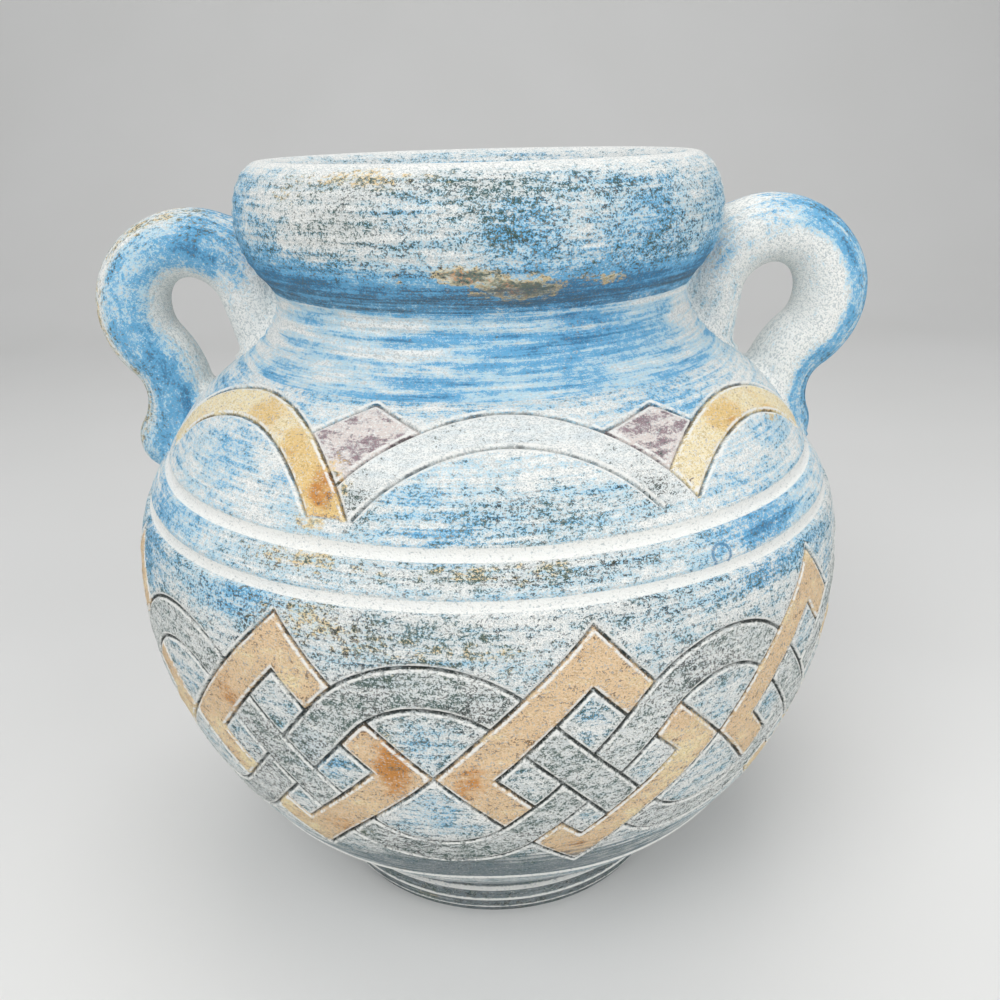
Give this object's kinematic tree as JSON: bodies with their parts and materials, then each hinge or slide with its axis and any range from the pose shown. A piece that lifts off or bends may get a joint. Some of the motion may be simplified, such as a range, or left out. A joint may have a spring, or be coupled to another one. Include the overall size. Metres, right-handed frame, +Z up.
{
  "type": "two-handled jar",
  "caption": "Round-bellied terracotta jar with a heavy rolled rim, looped coil handles at the neck, turned belt grooves and a carved interlace; holds water or dry goods.",
  "frame": {"origin": "centre of the foot, on the surface that the jar stands on", "axes": "+Z up along the turning axis, +X towards the right handle, -Y towards the front with the carved centre arch"},
  "size_m": [0.2584, 0.2422, 0.2522],
  "materials": {
    "foot_finish": "matte grey-white slip over fired clay, turned lines rubbed dark",
    "belly_finish": "matte distressed paint: off-white, blue and ochre over a carved interlace",
    "shoulder_finish": "matte distressed sky blue paint brushed over off-white",
    "neck_finish": "matte sky blue paint with brushed white streaks",
    "rim_finish": "matte off-white and blue paint, densely speckled grey and black",
    "handle_finish": "matte blue paint worn to white on the inner side",
    "luting_clay": "matte off-white slip"
  },
  "bodies": {
    "root": {"foot_disc": "foot_finish", "lower_bowl": "belly_finish", "shoulder_dome": "shoulder_finish", "neck_collar": "neck_finish", "rim_roll": "rim_finish", "left_handle": "handle_finish", "right_handle": "handle_finish", "left_neck_pad": "luting_clay", "right_neck_pad": "luting_clay", "left_root_pad": "luting_clay", "right_root_pad": "luting_clay"}
  },
  "joints": []
}
